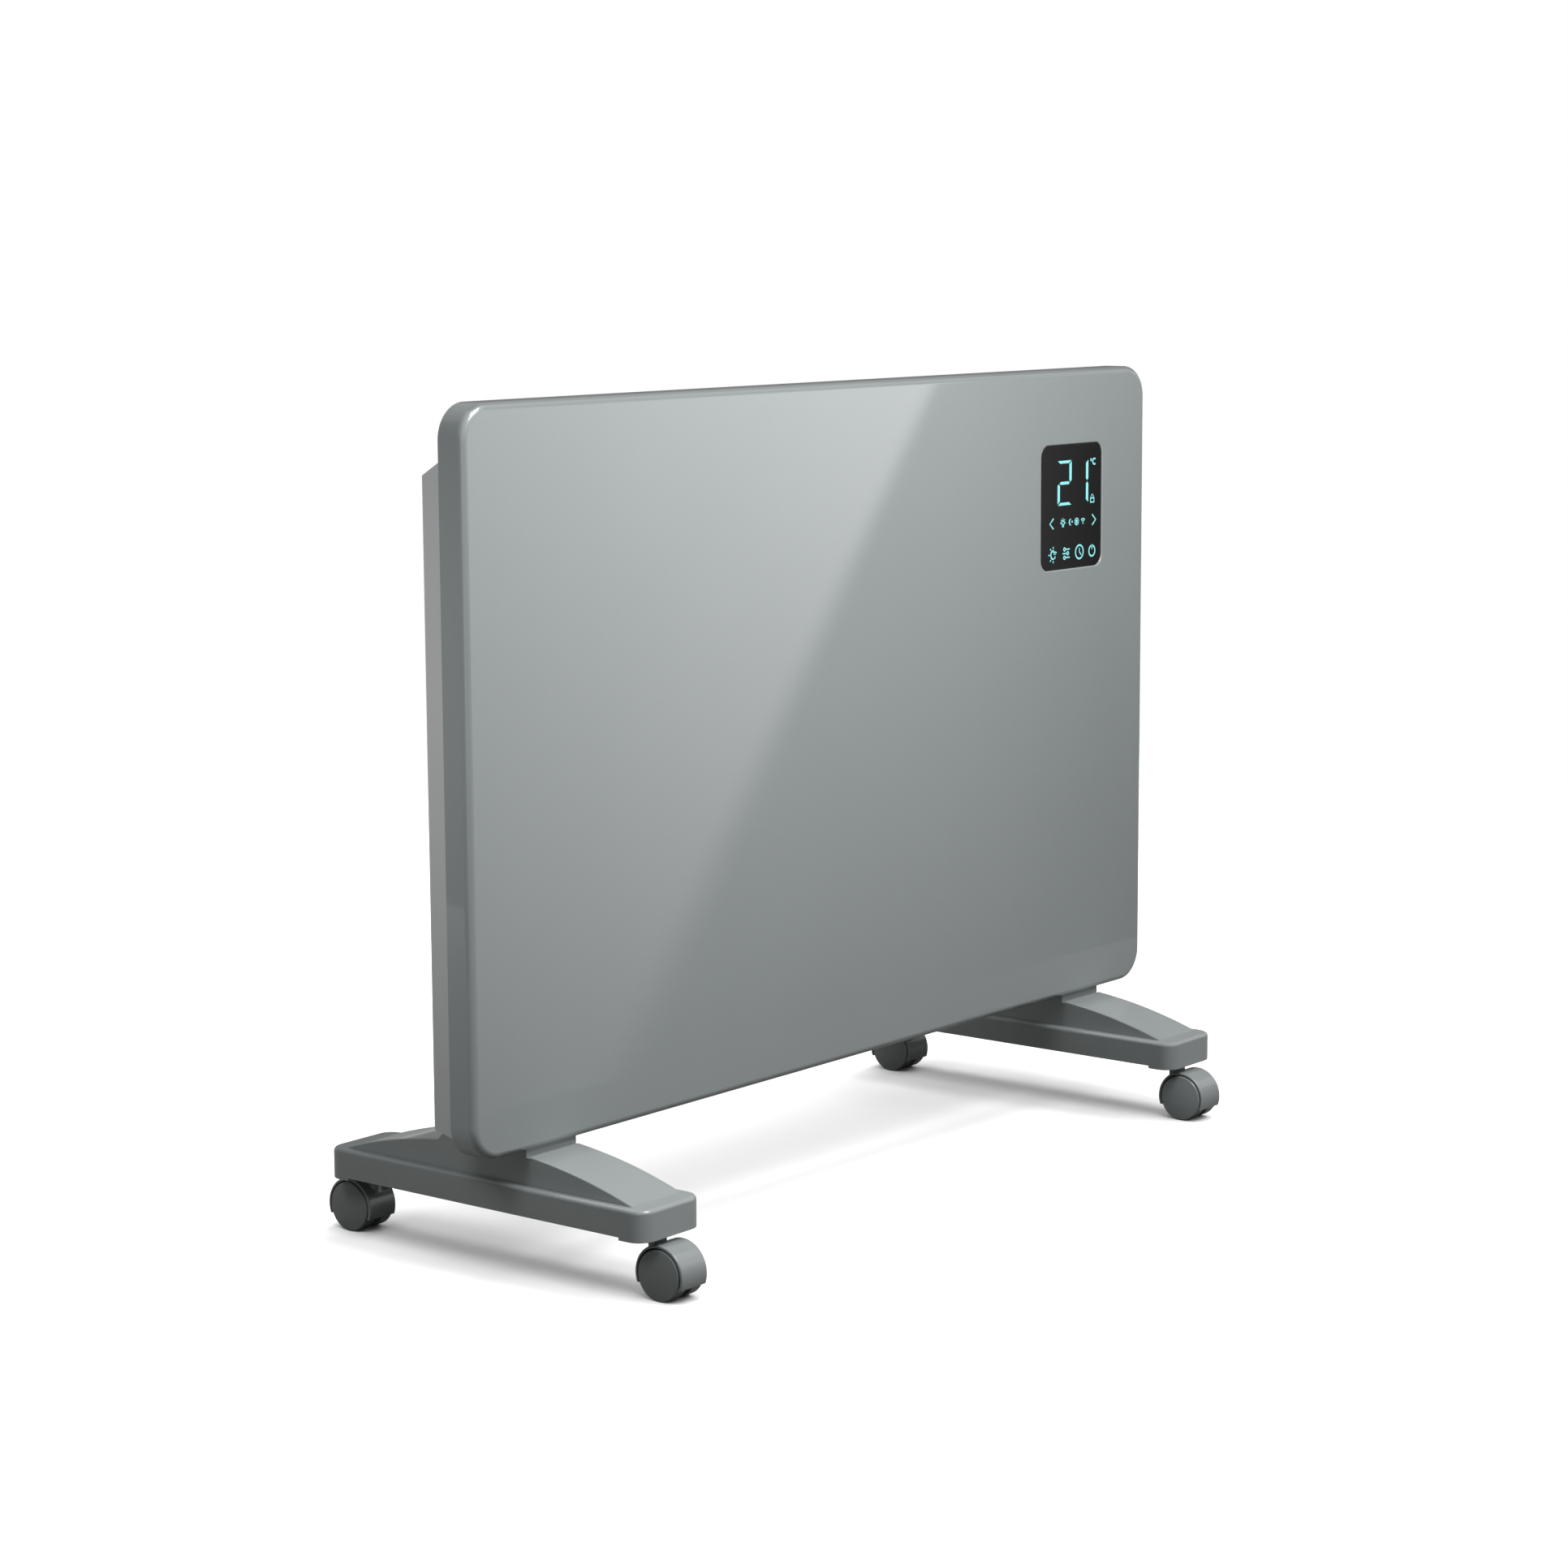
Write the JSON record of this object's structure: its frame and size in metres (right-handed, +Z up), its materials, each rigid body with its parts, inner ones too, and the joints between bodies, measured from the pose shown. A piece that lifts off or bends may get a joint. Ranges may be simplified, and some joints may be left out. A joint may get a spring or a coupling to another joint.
{
  "type": "panel convector heater",
  "caption": "Flat panel convector heater: gloss grey front shell with a black touch display, shallow rear housing, two moulded feet on twin-wheel swivel castors.",
  "frame": {"origin": "On the floor, in the middle under the four castors, which is the bottom centre of the box round the whole heater.", "axes": "+Z is up, the front with the display faces -Y, and +X is to the right for someone who looks at the front. The castors trail outwards, away from the middle."},
  "size_m": [0.83, 0.343, 0.6155],
  "materials": {
    "lacquer": "gloss",
    "housing_paint": "satin",
    "foot_plastic": "gloss",
    "castor_plastic": "gloss",
    "window_black": "gloss",
    "dark_plastic": "matte",
    "pale_plastic": "matte",
    "ceramic": "matte",
    "circuit": "satin",
    "fin_aluminium": "satin",
    "zinc_steel": "satin"
  },
  "bodies": {
    "heater": {"cord_gland": "dark_plastic", "display_board": "circuit", "display_carrier": "dark_plastic", "display_window": "window_black", "element_bracket_left": "zinc_steel", "element_bracket_right": "zinc_steel", "element_insulator_left": "ceramic", "element_insulator_right": "ceramic", "foot_left": "foot_plastic", "foot_nut_plate_left": "zinc_steel", "foot_nut_plate_right": "zinc_steel", "foot_right": "foot_plastic", "front_shell": "lacquer", "heat_baffle": "zinc_steel", "heating_element": "fin_aluminium", "heating_rod": "zinc_steel", "light_guide": "pale_plastic", "mains_switch_body": "dark_plastic", "power_board": "circuit", "power_board_box": "pale_plastic", "rear_housing": "housing_paint", "room_sensor": "dark_plastic", "terminal_block": "pale_plastic", "thermal_cutout": "zinc_steel", "tip_over_switch": "dark_plastic"},
    "castor_front_left_swivel": {"castor_front_left_stem": "zinc_steel", "castor_front_left_hood": "castor_plastic", "castor_front_left_axle": "zinc_steel"},
    "castor_front_left_wheel_left_body": {"castor_front_left_wheel_left": "castor_plastic"},
    "castor_front_left_wheel_right_body": {"castor_front_left_wheel_right": "castor_plastic"},
    "castor_rear_left_swivel": {"castor_rear_left_stem": "zinc_steel", "castor_rear_left_hood": "castor_plastic", "castor_rear_left_axle": "zinc_steel"},
    "castor_rear_left_wheel_left_body": {"castor_rear_left_wheel_left": "castor_plastic"},
    "castor_rear_left_wheel_right_body": {"castor_rear_left_wheel_right": "castor_plastic"},
    "castor_front_right_swivel": {"castor_front_right_stem": "zinc_steel", "castor_front_right_hood": "castor_plastic", "castor_front_right_axle": "zinc_steel"},
    "castor_front_right_wheel_left_body": {"castor_front_right_wheel_left": "castor_plastic"},
    "castor_front_right_wheel_right_body": {"castor_front_right_wheel_right": "castor_plastic"},
    "castor_rear_right_swivel": {"castor_rear_right_stem": "zinc_steel", "castor_rear_right_hood": "castor_plastic", "castor_rear_right_axle": "zinc_steel"},
    "castor_rear_right_wheel_left_body": {"castor_rear_right_wheel_left": "castor_plastic"},
    "castor_rear_right_wheel_right_body": {"castor_rear_right_wheel_right": "castor_plastic"},
    "rocker": {"mains_switch_rocker": "dark_plastic"}
  },
  "joints": [
    {"name": "castor_front_left_swivel_turn", "type": "hinge", "parent": "heater", "child": "castor_front_left_swivel", "pos_m": [-0.331, -0.138, 0.045], "axis": [0, 0, 1], "continuous": true},
    {"name": "castor_front_left_wheel_left_roll", "type": "hinge", "parent": "castor_front_left_swivel", "child": "castor_front_left_wheel_left_body", "pos_m": [-0.331, -0.15, 0.0185], "axis": [1, 0, 0], "continuous": true},
    {"name": "castor_front_left_wheel_right_roll", "type": "hinge", "parent": "castor_front_left_swivel", "child": "castor_front_left_wheel_right_body", "pos_m": [-0.331, -0.15, 0.0185], "axis": [1, 0, 0], "continuous": true},
    {"name": "castor_rear_left_swivel_turn", "type": "hinge", "parent": "heater", "child": "castor_rear_left_swivel", "pos_m": [-0.331, 0.138, 0.045], "axis": [0, 0, 1], "continuous": true},
    {"name": "castor_rear_left_wheel_left_roll", "type": "hinge", "parent": "castor_rear_left_swivel", "child": "castor_rear_left_wheel_left_body", "pos_m": [-0.331, 0.15, 0.0185], "axis": [1, 0, 0], "continuous": true},
    {"name": "castor_rear_left_wheel_right_roll", "type": "hinge", "parent": "castor_rear_left_swivel", "child": "castor_rear_left_wheel_right_body", "pos_m": [-0.331, 0.15, 0.0185], "axis": [1, 0, 0], "continuous": true},
    {"name": "castor_front_right_swivel_turn", "type": "hinge", "parent": "heater", "child": "castor_front_right_swivel", "pos_m": [0.331, -0.138, 0.045], "axis": [0, 0, 1], "continuous": true},
    {"name": "castor_front_right_wheel_left_roll", "type": "hinge", "parent": "castor_front_right_swivel", "child": "castor_front_right_wheel_left_body", "pos_m": [0.331, -0.15, 0.0185], "axis": [1, 0, 0], "continuous": true},
    {"name": "castor_front_right_wheel_right_roll", "type": "hinge", "parent": "castor_front_right_swivel", "child": "castor_front_right_wheel_right_body", "pos_m": [0.331, -0.15, 0.0185], "axis": [1, 0, 0], "continuous": true},
    {"name": "castor_rear_right_swivel_turn", "type": "hinge", "parent": "heater", "child": "castor_rear_right_swivel", "pos_m": [0.331, 0.138, 0.045], "axis": [0, 0, 1], "continuous": true},
    {"name": "castor_rear_right_wheel_left_roll", "type": "hinge", "parent": "castor_rear_right_swivel", "child": "castor_rear_right_wheel_left_body", "pos_m": [0.331, 0.15, 0.0185], "axis": [1, 0, 0], "continuous": true},
    {"name": "castor_rear_right_wheel_right_roll", "type": "hinge", "parent": "castor_rear_right_swivel", "child": "castor_rear_right_wheel_right_body", "pos_m": [0.331, 0.15, 0.0185], "axis": [1, 0, 0], "continuous": true},
    {"name": "mains_switch_press", "type": "hinge", "parent": "heater", "child": "rocker", "pos_m": [0.402, -0.0094, 0.15728], "axis": [0, 1, 0], "range_deg": [-16, 0]}
  ]
}
